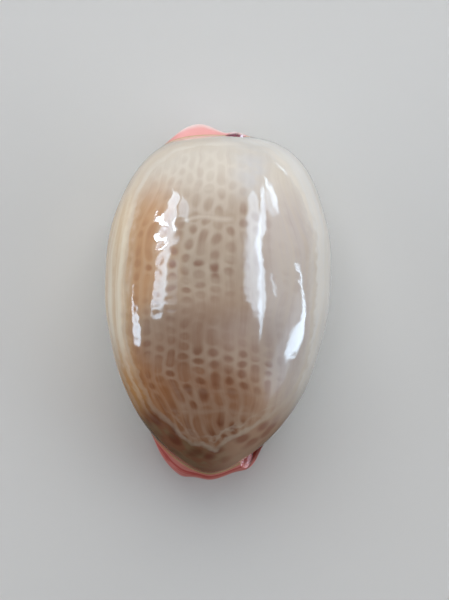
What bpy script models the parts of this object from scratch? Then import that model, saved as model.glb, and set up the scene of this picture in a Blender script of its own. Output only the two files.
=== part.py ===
"""A cowrie shell, at its real size: one hollow body with a toothed slot along its base.

The shell lies on its base. +Z is up, +Y points to the blunt rear end with the hidden spire, and -Y to the
narrow front end. The outer lip is at -X and the inner lip at +X. The origin is on the resting plane, under
the middle of the shell.
"""

import math

import bmesh
import bpy
import numpy as np

# Body, in millimetres; pairs are rear and front, threes are middle, rear and front
REACH = (14.2, 21.8)                # from the widest section to the ends
WIDEST_Y = 3.6
HALF_WIDTH = (12.05, 12.05)         # outer lip side, inner lip side
HEIGHT = 20.5
MARGIN_Z = (7.8, 4.6, 3.8)          # height of the widest line
BASE_Z = (-1.0, 0.9, 1.0)           # lowest line of the base before it is worn flat
OUTER_TAPER = (0.70, 1.22)          # how fast the outer lip side narrows towards the ends
INNER_TAPER = (0.565, 1.25)
ROOF_TAPER = (0.76, 1.06)
BASE_TAPER = (0.36, 0.42)
BASE_FULLNESS = 2.4                 # 2 is an ellipse, more is squarer
FLAT_BLEND = 0.35                   # rounding where the curved base meets its flats

# Walls, in millimetres
ROOF_WALL = 0.9
MARGIN_WALL = 1.4
END_WALL = 2.0
BASE_WALL = 3.5                     # from the base before it is worn flat

# Slot between the lips, in millimetres
SLOT_WIDTH = (1.1, 0.3, 0.1)        # between the lips, or between their teeth
SLOT_SWELLING = (1.2, -8.5, 4.0)    # extra width near the front: how much, at which y, over what length
SLOT_CLOSING = (0.80, 0.92)         # between these shares of the reach it closes to a slit
SLIT_WIDTH = 0.06
SLIT_LEAN = 0.15                    # how far it leans towards the outer lip below the canals, as a slope
SLOT_MIDDLE = (-1.2, 1.0)           # where the slot is furthest towards the outer lip, as x and y
SLOT_BEND = 2.2                     # how late the slot turns aside to the canals
SLOT_TURN = (0.8, 6.5)              # after what share of the front run it turns back again, and how sharply
SLOT_OVERRUN = 1.8                  # how far the cut runs past both ends
LIP_RADIUS = (1.4, 0.7, 0.7)        # of the rounded lips
LIP_TOP_Z = 1.2                     # the rounding starts no higher than this
LIP_OPENING = 1.6                   # half width of the cut below the lips, in lip radii
CUT_BELOW = 1.0                     # how far the cut reaches below the base

# Canals, in millimetres: where the slot leaves the shell at each end, as x and y
REAR_CANAL = (1.2, 17.8)
FRONT_CANAL = (4.5, -16.3)
CANAL_Z = (4.1, 4.7, 5.0)
CANAL_RADIUS = (1.8, 1.05, 0.95)    # the middle one is inside the hollow

# Flared tips: height in millimetres, then bearing and spread to each side of each swelling.
# Bearings are in degrees from straight out, positive towards the inner lip.
REAR_FLARES = ((1.38, -15.0, 16.0, 13.0), (0.46, 7.0, 5.0, 8.0))
FRONT_FLARES = ((0.68, 0.0, 46.0, 26.0), (0.75, -17.0, 26.0, 7.0), (0.8, 25.0, 8.0, 11.0))
FLARE_CENTRE_Y = (8.0, -8.0)
FLARE_TOP_Z = (3.6, 4.8)            # full below the first height, none above the second
FLARE_FADE = (4.0, 8.0)             # none nearer to its centre than the first distance, full past the second

# Hollow over the hidden spire, in millimetres
SPIRE = (2.8, 9.0)                  # its x and z on the rear face
SPIRE_RADIUS = 1.7
SPIRE_DEPTH = 0.5

# Teeth along both lips, in millimetres
TOOTH_PITCH = 1.28
TOOTH_HEIGHT = (0.42, 0.34)         # on the outer lip, on the inner lip
TOOTH_SPAN = (15.0, -15.5)          # y of the last teeth at the rear and at the front
TOOTH_FADE = 3.0                    # length over which they grow from nothing

# Spine: the skin is found along rays that start on it
SPINE_SHARE = 0.5                   # how far it runs towards the ends
SPINE_END_Z = 6.0

# Fineness of the lofts
SKIN_RINGS = 44
SKIN_SEGMENTS = 44
HOLLOW_RINGS = 24
HOLLOW_SEGMENTS = 26
CAP_RADIUS = 0.5                    # of the first and last ring, inside the canals
STATIONS_PER_TOOTH = 4
LIP_ANGLES = (-85.0, -60.0, -35.0, -10.0, 15.0)       # round the lip, from its underside
CANAL_ANGLES = (-88.0, -50.0, -15.0, 25.0, 60.0)      # round the canal, from its underside

PATH_STEPS = 400                    # for measuring along the slot
HALVINGS = 40
RIM_SHARE = 0.9999                  # the skin closes here, just before the share of the reach is 1
CHANGE_POWER = 2.2                  # how late along the shell the middle values turn into the end ones
MM = 0.001


def ease(low, high, value):
    """A smooth step from 0 at low to 1 at high."""
    share = np.clip((value - low) / (high - low), 0.0, 1.0)
    return share * share * (3.0 - 2.0 * share)


def along(values, share):
    """The middle value at the widest section, turning into the rear or front one at the ends."""
    middle, rear, front = values
    turned = np.minimum(np.abs(share), 1.0) ** CHANGE_POWER
    return middle + (np.where(share > 0.0, rear, front) - middle) * turned


def taper(powers, share):
    """How wide a section is beside the widest one, for a share of the reach from -1 to 1."""
    rear, front = powers
    return np.sqrt(1.0 - share * share) ** (front + (rear - front) * (1.0 + share) / 2.0)


def section(x, y):
    """The height of the widest line at a plan position, and the section's half width and its depth below."""
    share = reach_share(y)
    middle = along(MARGIN_Z, share)
    half_width = np.where(
        x < 0.0, HALF_WIDTH[0] * taper(OUTER_TAPER, share), HALF_WIDTH[1] * taper(INNER_TAPER, share))
    depth = (middle - along(BASE_Z, share)) * taper(BASE_TAPER, share)
    return middle, half_width, depth


def reach_share(y):
    """How far a y is towards the ends: 1 at the rear, -1 at the front, 0 at the widest section."""
    return np.clip((y - WIDEST_Y) / np.where(y > WIDEST_Y, *REACH), -RIM_SHARE, RIM_SHARE)


def inside(points):
    """True for points inside the outer skin."""
    x, y, z = points[..., 0], points[..., 1], points[..., 2]
    share = reach_share(y)
    middle, half_width, depth = section(x, y)
    half_height = np.where(z > middle, (HEIGHT - MARGIN_Z[0]) * taper(ROOF_TAPER, share), depth)
    power = np.where(z > middle, 2.0, BASE_FULLNESS)
    filled = np.abs(x / half_width) ** power + np.abs((z - middle) / half_height) ** power < 1.0
    return filled & (np.abs(share) < RIM_SHARE)


def base_height(x, y):
    """The height of the base at a plan position, before it is worn flat."""
    middle, half_width, depth = section(x, y)
    aside = np.minimum(np.abs(x / half_width), 1.0)
    return middle - depth * (1.0 - aside ** BASE_FULLNESS) ** (1.0 / BASE_FULLNESS)


def rays(polar, turn):
    """Rays round a ring: their starts on the spine and their unit directions.

    The polar angle runs from the rear canal to the front one, the turn from straight down towards +X.
    """
    cosine = np.cos(polar)
    lean = cosine * cosine
    at_rear = cosine > 0.0
    canal_x = np.where(at_rear, REAR_CANAL[0], FRONT_CANAL[0])
    canal_z = np.where(at_rear, *CANAL_Z[1:])
    reach = np.where(at_rear, *REACH)
    start_x = lean * canal_x * SPINE_SHARE
    start_y = WIDEST_Y + cosine * reach * SPINE_SHARE
    start_z = MARGIN_Z[0] + lean * (SPINE_END_Z - MARGIN_Z[0])
    run = reach * (1.0 - SPINE_SHARE)
    side = np.sin(polar) * np.sin(turn) + lean * canal_x * (1.0 - SPINE_SHARE) / run
    rise = -np.sin(polar) * np.cos(turn) + lean * (canal_z - SPINE_END_Z) / run
    direction = np.stack([side, cosine, rise], axis=-1)
    direction /= np.linalg.norm(direction, axis=-1, keepdims=True)
    return np.stack([start_x, start_y, start_z], axis=-1), direction


def skin_point(start, direction):
    """The point where each ray meets the outer skin, found by halving."""
    low = np.zeros(direction.shape[:-1])
    high = np.full(direction.shape[:-1], 2.0 * REACH[1])
    for _ in range(HALVINGS):
        middle = (low + high) / 2.0
        within = inside(start + direction * middle[..., None])
        low = np.where(within, middle, low)
        high = np.where(within, high, middle)
    return start + direction * low[..., None]


def wall_step(direction):
    """From the outer skin to the inner one, back along each ray."""
    up_or_down = np.where(direction[..., 2] > 0.0, ROOF_WALL, BASE_WALL)
    thickness = (direction[..., 0] ** 2 * MARGIN_WALL + direction[..., 1] ** 2 * END_WALL
                 + direction[..., 2] ** 2 * up_or_down)
    return -direction * thickness[..., None]


def swelling(flares, bearing):
    """The height of an end's flared tips at a bearing."""
    total = 0.0
    for height, middle, left, right in flares:
        spread = np.where(bearing < middle, left, right)
        total = total + height * np.exp(-((bearing - middle) / spread) ** 2)
    return total


def flare(points):
    """Push the low part of both ends outwards, as the tips of the lips are."""
    x, y, z = points[..., 0], points[..., 1], points[..., 2]
    low = 1.0 - ease(FLARE_TOP_Z[0], FLARE_TOP_Z[1], z)
    moved = points.copy()
    for flares, centre_y, side in zip((REAR_FLARES, FRONT_FLARES), FLARE_CENTRE_Y, (1.0, -1.0)):
        out = (y - centre_y) * side
        bearing = np.degrees(np.arctan2(x, out))
        size = low * swelling(flares, bearing) * ease(*FLARE_FADE, out)
        distance = np.hypot(x, out) + 1e-9
        moved[..., 0] += size * x / distance
        moved[..., 1] += size * side * out / distance
    return moved


def wear_flat(points):
    """Lift whatever lies below the resting plane onto it, with a soft edge."""
    z = points[..., 2]
    worn = points.copy()
    share = np.clip((z + FLAT_BLEND) / (2.0 * FLAT_BLEND), 0.0, 1.0)
    worn[..., 2] = np.where(z > FLAT_BLEND, z, FLAT_BLEND * share * share)
    return worn


def skin(rings, segments):
    """The outer skin as rings of points from rear to front, and the rays' directions."""
    caps = []
    for pole in (0.0, math.pi):
        start, direction = rays(np.array(pole), np.array(0.0))
        caps.append(math.asin(CAP_RADIUS / np.linalg.norm(skin_point(start, direction) - start)))
    polar = np.linspace(caps[0], math.pi - caps[1], rings)[:, None]
    turn = np.linspace(0.0, 2.0 * math.pi, segments, endpoint=False)[None, :]
    polar, turn = np.broadcast_arrays(polar, turn)
    start, direction = rays(polar, turn)
    return skin_point(start, direction), direction


def outer_form():
    """The shell's outside, worn flat below, with its hollow over the spire and its flared tips."""
    points, _ = skin(SKIN_RINGS, SKIN_SEGMENTS)
    from_spire = np.hypot(points[..., 0] - SPIRE[0], points[..., 2] - SPIRE[1])
    points[..., 1] -= SPIRE_DEPTH * np.exp(-(from_spire / SPIRE_RADIUS) ** 2) * (points[..., 1] > WIDEST_Y)
    return flare(wear_flat(points))


def hollow_form():
    """The room inside the shell."""
    points, direction = skin(HOLLOW_RINGS, HOLLOW_SEGMENTS)
    return points + wall_step(direction)


def slot_x(y):
    """The x of the slot's middle line at a y."""
    x, middle_y = SLOT_MIDDLE
    to_rear = np.maximum(y - middle_y, 0.0) / (REAR_CANAL[1] - middle_y)
    to_front = np.maximum(middle_y - y, 0.0) / (middle_y - FRONT_CANAL[1])
    start, sharpness = SLOT_TURN
    aside = to_front ** SLOT_BEND - sharpness * np.maximum(to_front - start, 0.0) ** 2
    at_canal = 1.0 - sharpness * (1.0 - start) ** 2
    return x + (REAR_CANAL[0] - x) * to_rear ** SLOT_BEND + (FRONT_CANAL[0] - x) * aside / at_canal


def slot_form():
    """The cut between the lips: a slit with toothed, rounded sides that opens into a canal at both ends."""
    y = np.linspace(WIDEST_Y + REACH[0] + SLOT_OVERRUN, WIDEST_Y - REACH[1] - SLOT_OVERRUN, PATH_STEPS)
    x = slot_x(y)
    travelled = np.concatenate([[0.0], np.cumsum(np.hypot(np.diff(x), np.diff(y)))])
    places = np.arange(0.0, travelled[-1], TOOTH_PITCH / STATIONS_PER_TOOTH)
    x, y = np.interp(places, travelled, x), np.interp(places, travelled, y)
    step_x, step_y = np.gradient(x), np.gradient(y)
    across = np.stack([-step_y, step_x], axis=-1) / np.hypot(step_x, step_y)[:, None]

    share = reach_share(y)
    extra, extra_y, extra_length = SLOT_SWELLING
    width = along(SLOT_WIDTH, share) + extra * np.exp(-((y - extra_y) / extra_length) ** 2)
    closed = ease(*SLOT_CLOSING, np.abs(share))
    half_gap = (width + (SLIT_WIDTH - width) * closed) / 2.0
    lip_radius = along(LIP_RADIUS, share)
    low_z = np.clip(base_height(x, y), 0.0, LIP_TOP_Z)
    rear_y, front_y = TOOTH_SPAN
    grown = ease(rear_y, rear_y - TOOTH_FADE, y) * ease(front_y, front_y + TOOTH_FADE, y)
    wave = 2.0 * math.pi * np.arange(len(y)) / STATIONS_PER_TOOTH

    sides = []
    for height, phase in zip(TOOTH_HEIGHT, (0.0, math.pi)):
        groove = height * grown * (0.5 - 0.5 * np.cos(wave + phase))
        offsets = [half_gap + groove + lip_radius * LIP_OPENING]
        heights = [low_z - CUT_BELOW]
        for angle in np.radians(LIP_ANGLES):
            offsets.append(half_gap + groove + lip_radius * (1.0 - math.cos(angle)))
            heights.append(low_z + lip_radius * (1.0 + math.sin(angle)))
        for angle in np.radians(CANAL_ANGLES):
            offsets.append(np.maximum(along(CANAL_RADIUS, share) * math.cos(angle), half_gap + groove))
            heights.append(along(CANAL_Z, share) + along(CANAL_RADIUS, share) * math.sin(angle))
        sides.append((np.stack(offsets, axis=-1), np.stack(heights, axis=-1)))
    (outer_offset, outer_z), (inner_offset, inner_z) = sides
    top = (along(CANAL_Z, share) + along(CANAL_RADIUS, share))[:, None]
    offset = np.concatenate([inner_offset, 0.0 * top, -outer_offset[:, ::-1]], axis=1)
    z = np.concatenate([inner_z, top, outer_z[:, ::-1]], axis=1)
    canal_floor = (along(CANAL_Z, share) - along(CANAL_RADIUS, share))[:, None]
    offset = offset - SLIT_LEAN * closed[:, None] * np.maximum(canal_floor - z, 0.0)
    plan = np.stack([x, y], axis=-1)[:, None, :] + across[:, None, :] * offset[..., None]
    return np.concatenate([plan, z[..., None]], axis=-1)


def make_material(name, colour, roughness):
    """A Principled material with one colour."""
    material = bpy.data.materials.new(name)
    material.use_nodes = True
    shader = material.node_tree.nodes["Principled BSDF"]
    shader.inputs["Base Color"].default_value = (*colour, 1.0)
    shader.inputs["Roughness"].default_value = roughness
    shader.inputs["Metallic"].default_value = 0.0
    return material


def make_collection(name):
    collection = bpy.data.collections.new(name)
    bpy.context.scene.collection.children.link(collection)
    return collection


def loft(name, rings, collection):
    """A closed object through rings of points in millimetres, with flat ends."""
    mesh = bmesh.new()
    verts = [[mesh.verts.new(point) for point in ring] for ring in rings * MM]
    count = len(verts[0])
    for here, there in zip(verts, verts[1:]):
        for step in range(count):
            after = (step + 1) % count
            mesh.faces.new((here[step], here[after], there[after], there[step]))
    mesh.faces.new(verts[0])
    mesh.faces.new(verts[-1])
    bmesh.ops.recalc_face_normals(mesh, faces=mesh.faces)
    data = bpy.data.meshes.new(name)
    mesh.to_mesh(data)
    mesh.free()
    item = bpy.data.objects.new(name, data)
    collection.objects.link(item)
    return item


def main():
    for item in list(bpy.data.objects):
        bpy.data.objects.remove(item)
    shell_parts = make_collection("reeves_cowrie")
    cutters = make_collection("cutters")

    shell = loft("cowrie_shell", outer_form(), shell_parts)
    shell.data.materials.append(make_material("glazed_shell", (0.60, 0.50, 0.41), 0.12))
    for name, rings in (("hollow", hollow_form()), ("slot", slot_form())):
        cutter = loft(name, rings, cutters)
        cutter.hide_render = True
        cutter.display_type = "WIRE"
        cut = shell.modifiers.new(name, "BOOLEAN")
        cut.operation = "DIFFERENCE"
        cut.solver = "EXACT"
        cut.object = cutter
    shell.data.shade_smooth()


main()
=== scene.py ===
import math

import bmesh
import bpy
import numpy as np
from mathutils import Matrix, Vector
from mathutils.bvhtree import BVHTree


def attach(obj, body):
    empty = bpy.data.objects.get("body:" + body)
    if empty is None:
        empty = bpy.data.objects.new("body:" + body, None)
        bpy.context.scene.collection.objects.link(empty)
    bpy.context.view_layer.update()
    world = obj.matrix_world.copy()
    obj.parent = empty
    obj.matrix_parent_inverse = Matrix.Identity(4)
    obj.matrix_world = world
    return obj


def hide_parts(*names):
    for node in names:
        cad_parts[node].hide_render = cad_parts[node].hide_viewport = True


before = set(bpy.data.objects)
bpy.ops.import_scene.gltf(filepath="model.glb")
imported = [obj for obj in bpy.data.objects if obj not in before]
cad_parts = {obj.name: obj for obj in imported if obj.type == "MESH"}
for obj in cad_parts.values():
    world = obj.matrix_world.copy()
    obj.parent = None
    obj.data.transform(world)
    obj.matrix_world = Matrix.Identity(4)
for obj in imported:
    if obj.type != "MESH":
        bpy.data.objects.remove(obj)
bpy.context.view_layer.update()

mm = 0.001
tiny = 1e-9
print("stage 1: frame loaded")


# the outer form, in millimetres: pairs are rear and front, threes are middle, rear and front
shellForm = {
    "reach": (14.2, 21.8),  # from the widest section to the ends
    "widestY": 3.6,
    "halfWidth": 12.05,
    "height": 20.5,
    "marginZ": (7.8, 4.6, 3.8),  # height of the widest line
    "baseZ": (-1.0, 0.9, 1.0),  # lowest line of the base before it is worn flat
    "outerTaper": (0.70, 1.22),
    "innerTaper": (0.565, 1.25),
    "roofTaper": (0.76, 1.06),
    "baseTaper": (0.36, 0.42),
    "roofFullness": 2.0,  # 2 is an ellipse, more is squarer
    "baseFullness": 2.4,
    "flatBlend": 0.35,
    "changePower": 2.2,
    "rimShare": 0.9999,
    "spineShare": 0.5,
    "spineEndZ": 6.0,
    "spire": (2.8, 9.0),  # x and z of the hollow over the hidden spire
    "spireRadius": 2.2,
    "spireDepth": 0.25,
    "rings": 300,
    "segments": 250,
    "capRadius": 0.5,
    "farOut": 45.0,  # every ray is outside the skin at this length
    "halvings": 40,
    "sharpFrom": 38.0,  # degrees between faces
}


def ease(low, high, value):
    share = np.clip((value - low) / (high - low), 0.0, 1.0)
    return share * share * (3.0 - 2.0 * share)


def along(values, share):  # the middle value turns into the rear or front one at the ends
    middle, rear, front = values
    turned = np.minimum(np.abs(share), 1.0) ** shellForm["changePower"]
    return middle + (np.where(share > 0.0, rear, front) - middle) * turned


def taper(powers, share):
    rear, front = powers
    return np.sqrt(1.0 - share * share) ** (front + (rear - front) * (1.0 + share) / 2.0)


def reachShare(y):
    reach, rim = shellForm["reach"], shellForm["rimShare"]
    return np.clip((y - shellForm["widestY"]) / np.where(y > shellForm["widestY"], *reach), -rim, rim)


def sectionAt(x, y):  # height of the widest line, half width, roof height and depth of the base
    share = reachShare(y)
    middle = along(shellForm["marginZ"], share)
    leftWidth = shellForm["halfWidth"] * taper(shellForm["outerTaper"], share)
    rightWidth = shellForm["halfWidth"] * taper(shellForm["innerTaper"], share)
    roof = (shellForm["height"] - shellForm["marginZ"][0]) * taper(shellForm["roofTaper"], share)
    depth = (middle - along(shellForm["baseZ"], share)) * taper(shellForm["baseTaper"], share)
    return middle, np.where(x < 0.0, leftWidth, rightWidth), roof, depth


def insideSkin(points):
    x, y, z = points[..., 0], points[..., 1], points[..., 2]
    middle, halfWidth, roof, depth = sectionAt(x, y)
    halfHeight = np.where(z > middle, roof, depth)
    power = np.where(z > middle, shellForm["roofFullness"], shellForm["baseFullness"])
    filled = np.abs(x / halfWidth) ** power + np.abs((z - middle) / halfHeight) ** power < 1.0
    return filled & (np.abs(reachShare(y)) < shellForm["rimShare"])


def baseHeight(x, y):
    middle, halfWidth, _, depth = sectionAt(x, y)
    power = shellForm["baseFullness"]
    aside = np.minimum(np.abs(x / halfWidth), 1.0)
    return middle - depth * (1.0 - aside ** power) ** (1.0 / power)


def raysFrom(polar, turn):  # rays leave a spine between the canals
    cosine = np.cos(polar)
    lean = cosine * cosine
    atRear = cosine > 0.0
    canalX = np.where(atRear, slotForm["rearCanal"][0], slotForm["frontCanal"][0])
    canalZ = np.where(atRear, *slotForm["canalZ"][1:])
    reach = np.where(atRear, *shellForm["reach"])
    share, endZ, middleZ = shellForm["spineShare"], shellForm["spineEndZ"], shellForm["marginZ"][0]
    start = np.stack([lean * canalX * share,
                      shellForm["widestY"] + cosine * reach * share,
                      middleZ + lean * (endZ - middleZ)], axis=-1)
    run = reach * (1.0 - share)
    side = np.sin(polar) * np.sin(turn) + lean * canalX * (1.0 - share) / run
    rise = -np.sin(polar) * np.cos(turn) + lean * (canalZ - endZ) / run
    direction = np.stack([side, cosine, rise], axis=-1)
    return start, direction / np.linalg.norm(direction, axis=-1, keepdims=True)


def skinPoint(start, direction):  # where a ray meets the skin, by halving
    low = np.zeros(direction.shape[:-1])
    high = np.full(direction.shape[:-1], shellForm["farOut"])
    for _ in range(shellForm["halvings"]):
        middle = (low + high) / 2.0
        within = insideSkin(start + direction * middle[..., None])
        low = np.where(within, middle, low)
        high = np.where(within, high, middle)
    return start + direction * low[..., None]


def skinGrid(rings, segments):
    caps = []
    for pole in (0.0, math.pi):
        start, direction = raysFrom(np.array(pole), np.array(0.0))
        caps.append(math.asin(shellForm["capRadius"] / np.linalg.norm(skinPoint(start, direction) - start)))
    polar = np.linspace(caps[0], math.pi - caps[1], rings)[:, None]
    turn = np.linspace(0.0, 2.0 * math.pi, segments, endpoint=False)[None, :]
    start, direction = raysFrom(*np.broadcast_arrays(polar, turn))
    return skinPoint(start, direction), direction


# flared tips: how far each swelling stands out in mm, then its bearing and its spread to each side
flareForm = {
    "rear": ((1.38, -15.0, 16.0, 13.0), (0.46, 7.0, 5.0, 8.0)),
    "front": ((0.68, 0.0, 46.0, 26.0), (0.75, -17.0, 26.0, 7.0), (0.8, 25.0, 8.0, 11.0)),
    "centreY": (8.0, -8.0),
    "topZ": (3.6, 4.8),
    "fade": (4.0, 8.0),
}


def swelling(flares, bearing):
    total = 0.0
    for height, middle, left, right in flares:
        spread = np.where(bearing < middle, left, right)
        total = total + height * np.exp(-((bearing - middle) / spread) ** 2)
    return total


def flareSize(points, end):  # how far one end's flare pushes each point, and the way it goes
    x, y, z = points[..., 0], points[..., 1], points[..., 2]
    side = (1.0, -1.0)[end]
    out = (y - flareForm["centreY"][end]) * side
    bearing = np.degrees(np.arctan2(x, out))
    low = 1.0 - ease(*flareForm["topZ"], z)
    size = low * swelling(flareForm[("rear", "front")[end]], bearing) * ease(*flareForm["fade"], out)
    distance = np.hypot(x, out) + tiny
    return size, x / distance, side * out / distance


def flareOut(points):
    moved = points.copy()
    for end in (0, 1):
        size, wayX, wayY = flareSize(points, end)
        moved[..., 0] += size * wayX
        moved[..., 1] += size * wayY
    return moved


def wearFlat(points):
    z, blend = points[..., 2], shellForm["flatBlend"]
    share = np.clip((z + blend) / (2.0 * blend), 0.0, 1.0)
    worn = points.copy()
    worn[..., 2] = np.where(z > blend, z, blend * share * share)
    return worn


# where the pattern lies on the shell
patternForm = {
    "column": 1.55,  # width of a column of cells, in mm round the back
    "narrowing": (0.68, 0.72),  # what is left of that width towards the rear and the front
    "narrowFrom": ((5.0, 14.0), (-7.0, -15.0)),  # over which y
    "lean": (3.0, -2.0, 16.0),  # how far they lean to the front canal, from which y, over what length
    "columnStart": 0.65,  # moves all the columns, in columns
    "columnWander": 0.13,  # how unevenly they run
    "columnRipple": 0.055,
    # y of the cross lines between the cells
    "rows": (23.0, 21.0, 19.3, 17.8, 16.3, 14.9, 13.5, 12.1, 10.6, 8.75, 7.3, 5.8, 4.35, 3.15, 1.95,
             0.9, -0.2, -1.3, -2.5, -3.65, -4.8, -5.9, -7.0, -8.1, -9.25, -11.3, -13.3, -14.6, -16.0),
    "rowBend": 0.006,
    "rowWander": 0.12,
    # single pale cross lines: y, x, reach across, strength
    "bandLines": ((8.75, -1.5, 3.5, 0.9), (12.1, -3.0, 4.0, 0.35), (4.35, -3.0, 3.5, 0.35),
                  (1.95, -4.0, 3.0, 0.5), (-0.2, -5.0, 3.0, 0.3), (-9.25, 1.0, 6.0, 0.35),
                  (-11.35, 1.0, 6.5, 0.55)),
    "bandWander": 0.15,
    "bandWidth": 0.26,
    "bandFade": (0.6, 1.0),  # shares of the reach
    # the edge of the patterned back, with its point at the front: x and y
    "cap": ((0.6, -15.55), (0.0, -15.4), (-0.9, -15.0), (-2.0, -14.95), (-3.1, -14.2), (-4.3, -12.9),
            (-5.3, -12.2), (-6.4, -11.2), (-7.45, -9.1), (-8.75, -6.5), (-9.6, -3.3), (-9.75, 2.0),
            (-9.5, 7.5), (-8.9, 11.2), (-7.6, 13.9), (-5.2, 15.9), (-2.5, 16.7), (1.7, 17.0), (4.7, 16.5),
            (6.6, 14.9), (8.6, 11.9), (10.0, 7.8), (10.3, 2.0), (10.1, -3.0), (9.6, -6.4), (8.7, -8.8),
            (7.6, -10.4), (6.1, -11.6), (4.4, -12.9), (3.0, -13.7), (1.7, -14.4)),
    "capAbove": (8.0, 4.0),  # it ends on the flanks, between these heights
    "farOutside": 20.0,
    "stringShift": 0.618,  # share of a spot's length by which each string of spots is moved on
    "relief": 0.028,  # height of the low swellings between the spots, in mm
    "reliefInside": 1.5,  # they rise over this distance from the edge
    "reliefAbove": 6.0,
    "reliefShape": (0.15, 0.5),  # from the middle of a spot, in cells
    "reliefRight": (-4.5, -3.0, 1.0, 0.25),  # the thicker glaze of the right half hides most of them
    "waves": 0.040,  # height of the slow unevenness
    "unevenFrom": (1.0, 3.0),  # no unevenness below the first height
    # where the net and the spots show most: x, y, reach across and along, strength
    "netPatches": ((-1.0, 14.5, 6.5, 2.8, 0.85), (-1.0, 8.5, 4.5, 3.2, 0.6), (-2.6, 3.5, 4.0, 3.0, 0.85),
                   (1.0, -2.0, 8.0, 4.0, 0.12), (-1.6, -7.4, 4.6, 4.2, 0.7), (3.2, -6.2, 3.4, 2.7, 0.65),
                   (0.2, -12.8, 4.6, 2.4, 0.65), (-8.0, 4.0, 2.5, 8.0, 0.15)),
    "spotPatches": ((-3.0, 3.2, 4.5, 2.4, 1.0), (-1.0, 9.0, 5.5, 3.2, 0.5), (-4.5, -6.5, 5.0, 4.0, 0.65),
                    (-1.0, -8.2, 4.0, 3.0, 0.85), (3.5, -7.0, 3.0, 2.5, 0.75), (-8.0, 3.0, 2.0, 7.0, 0.35),
                    (-0.5, -12.3, 5.0, 2.4, 0.95), (-2.5, 13.0, 4.5, 2.0, 0.3), (3.0, 4.0, 4.0, 3.0, 0.3),
                    (6.5, 2.0, 4.0, 8.0, 0.12), (-6.0, -1.0, 2.5, 3.0, 0.45)),
}


def patches(points, places):  # the strongest of some soft oval patches
    total = np.zeros(points.shape[:-1])
    for x, y, across, lengthwise, strength in places:
        away = ((points[..., 0] - x) / across) ** 2 + ((points[..., 1] - y) / lengthwise) ** 2
        total = np.maximum(total, strength * np.exp(-away * away * 0.5))
    return total


# the half width and roof height that an arc round the back has at least, and where it is measured
arcForm = {"leastRadius": 0.3, "samples": 8}


def roundTheBack(points):  # arc length from the midline of the back, in mm
    x, y, z = points[..., 0], points[..., 1], points[..., 2]
    middle, halfWidth, roof, _ = sectionAt(x, y)
    halfWidth, roof = (np.maximum(radius, arcForm["leastRadius"]) for radius in (halfWidth, roof))
    angle = np.arctan2(np.abs(x) / halfWidth, (z - middle) / roof)
    nodes, weights = np.polynomial.legendre.leggauss(arcForm["samples"])
    total = np.zeros_like(angle)
    for node, weight in zip(nodes, weights):
        at = angle * (1.0 + node) / 2.0
        total += weight * np.sqrt((halfWidth * np.cos(at)) ** 2 + (roof * np.sin(at)) ** 2)
    return np.sign(x) * total * angle / 2.0


def rowNumber(y):  # counts the cross lines passed on the way to the front
    lines = np.array(patternForm["rows"])
    return np.interp(-y, -lines, np.arange(len(lines)))


def bandLines(points):  # pale lines that cross several columns
    total = np.zeros(points.shape[:-1])
    for y, x, reach, strength in patternForm["bandLines"]:
        wander = patternForm["bandWander"] * softWaves(points, "bands")
        away = (bentRow(points) - y - wander) / patternForm["bandWidth"]
        beside = 1.0 - ease(*patternForm["bandFade"], np.abs(points[..., 0] - x) / reach)
        total = np.maximum(total, strength * beside * np.exp(-away * away))
    return total


def columnNumber(points):
    y = points[..., 1]
    width = patternForm["column"] * np.ones_like(y)
    for left, ends in zip(patternForm["narrowing"], patternForm["narrowFrom"]):
        width *= 1.0 - (1.0 - left) * ease(*ends, y)
    leanX, leanY, leanLength = patternForm["lean"]
    lean = leanX * (np.clip(leanY - y, 0.0, None) / leanLength) ** 2
    return (roundTheBack(points) - lean) / width


def bentRow(points):
    return points[..., 1] + patternForm["rowBend"] * points[..., 0] ** 2


def capDistance(points):  # mm inside the edge of the patterned back, negative outside it
    edge = np.array(patternForm["cap"])
    x, y = points[..., 0], points[..., 1]
    nearest = np.full(x.shape, np.inf)
    crossings = np.zeros(x.shape, dtype=int)
    for (ax, ay), (bx, by) in zip(edge, np.roll(edge, -1, axis=0)):
        run = np.array([bx - ax, by - ay])
        share = np.clip(((x - ax) * run[0] + (y - ay) * run[1]) / (run @ run), 0.0, 1.0)
        nearest = np.minimum(nearest, np.hypot(x - ax - share * run[0], y - ay - share * run[1]))
        spans = (ay > y) != (by > y)
        atX = ax + (y - ay) * run[0] / (run[1] if run[1] else tiny)
        crossings += spans & (x < atX)
    return np.where(crossings % 2 == 1, nearest, -nearest)


# slow unevenness: seed, number of waves, shortest and longest wave in mm
waveForm = {
    "skin": (7, 14, 4.0, 11.0),
    "columns": (5, 8, 5.0, 9.0),
    "columnRipple": (8, 6, 1.8, 3.2),
    "rows": (12, 6, 2.0, 5.0),
    "bands": (9, 5, 2.0, 5.0),
}


def softWaves(points, kind):  # smooth unevenness from a few seeded waves
    seed, count, shortest, longest = waveForm[kind]
    draw = np.random.default_rng(seed)
    total = np.zeros(points.shape[:-1])
    for _ in range(count):
        way = draw.normal(size=3)
        way /= np.linalg.norm(way)
        length = draw.uniform(shortest, longest)
        total += np.sin(points @ way * 2.0 * math.pi / length + draw.uniform(0.0, 2.0 * math.pi))
    return total / math.sqrt(count)


def cellPlace(points):  # counts strings of spots round the back, and spots along each string
    acrossStrings = (columnNumber(points) + patternForm["columnStart"]
                     + patternForm["columnWander"] * softWaves(points, "columns")
                     + patternForm["columnRipple"] * softWaves(points, "columnRipple"))
    alongStrings = rowNumber(bentRow(points)) + patternForm["rowWander"] * softWaves(points, "rows")
    return acrossStrings, alongStrings


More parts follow.
